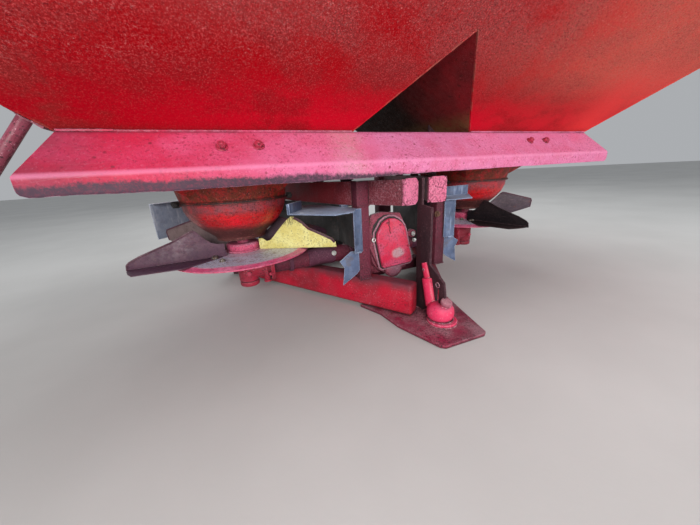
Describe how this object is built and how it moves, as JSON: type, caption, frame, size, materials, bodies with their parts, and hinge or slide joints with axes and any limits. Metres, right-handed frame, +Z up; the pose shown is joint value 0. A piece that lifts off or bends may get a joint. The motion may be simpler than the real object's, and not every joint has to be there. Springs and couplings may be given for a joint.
{
  "type": "twin-disc fertilizer spreader",
  "caption": "Tractor-mounted twin-disc fertilizer spreader: hopper over two cups, spinning discs with vanes, base frame, headstock and rear apron.",
  "frame": {"origin": "on the ground, under the middle of the outline", "axes": "+X to the machine's right seen from behind, +Y forwards in the direction of travel, +Z up"},
  "size_m": [2.5364, 1.339, 1.182],
  "materials": {
    "hopper_paint": "weathered deep red paint, pale speckle",
    "apron_paint": "sun-faded red paint with grime along the lower edge",
    "frame_paint": "dusty maroon paint",
    "bright_paint": "clean bright red paint",
    "cup_paint": "red paint with brown grime",
    "worn_steel": "scoured bare steel with a painted rim",
    "vane_steel": "dark coated steel",
    "yellow_vane": "yellow vane with moss",
    "galvanised": "galvanised sheet",
    "cast": "painted casting",
    "steel": "bare machined steel",
    "guard_plastic": "black plastic"
  },
  "bodies": {
    "frame": {"apron": "apron_paint", "apron_brackets": "apron_paint", "centre_plate": "frame_paint", "cup_bowl_left": "cup_paint", "cup_bowl_right": "cup_paint", "cup_ring_left": "cup_paint", "cup_ring_right": "cup_paint", "drive_tube_left": "frame_paint", "drive_tube_right": "frame_paint", "foot_plate": "bright_paint", "front_beam": "frame_paint", "front_feet": "frame_paint", "front_guard_left": "galvanised", "front_guard_right": "galvanised", "funnel_left": "hopper_paint", "funnel_right": "hopper_paint", "gearbox_centre": "cast", "gearbox_cover": "bright_paint", "gearbox_cradle": "frame_paint", "gearbox_left": "bright_paint", "gearbox_plate": "cast", "gearbox_right": "bright_paint", "guard_left": "galvanised", "guard_right": "galvanised", "headstock_top": "frame_paint", "hopper_brackets": "frame_paint", "hopper_front_wall": "hopper_paint", "hopper_left_wall": "hopper_paint", "hopper_rear_wall": "hopper_paint", "hopper_right_wall": "hopper_paint", "hopper_rim": "hopper_paint", "hopper_saddle": "hopper_paint", "input_guard": "guard_plastic", "link_pin_left": "frame_paint", "link_pin_right": "frame_paint", "lower_beam_left": "bright_paint", "lower_beam_right": "bright_paint", "side_arm": "apron_paint", "side_posts": "frame_paint", "tow_socket": "bright_paint", "upper_beam_left": "frame_paint", "upper_beam_right": "frame_paint", "upright_left": "frame_paint", "upright_right": "frame_paint"},
    "rotor_left": {"disc_left": "worn_steel", "hub_left": "bright_paint", "vanes_left": "vane_steel", "vane_left_clean": "yellow_vane"},
    "rotor_right": {"disc_right": "worn_steel", "hub_right": "bright_paint", "vanes_right": "vane_steel"},
    "input": {"input_shaft": "steel"}
  },
  "joints": [
    {"name": "disc_left_spin", "type": "hinge", "parent": "frame", "child": "rotor_left", "pos_m": [-0.5725, 0.04449, 0.251], "axis": [0, 0, 1], "continuous": true},
    {"name": "disc_right_spin", "type": "hinge", "parent": "frame", "child": "rotor_right", "pos_m": [0.5725, 0.04449, 0.251], "axis": [0, 0, 1], "continuous": true},
    {"name": "input_spin", "type": "hinge", "parent": "frame", "child": "input", "pos_m": [0, 0.22249, 0.185], "axis": [0, 1, 0], "continuous": true}
  ],
  "couplings": [
    {"joint": "disc_right_spin", "follows": "disc_left_spin", "ratio": -1},
    {"joint": "input_spin", "follows": "disc_left_spin", "ratio": 0.75}
  ]
}
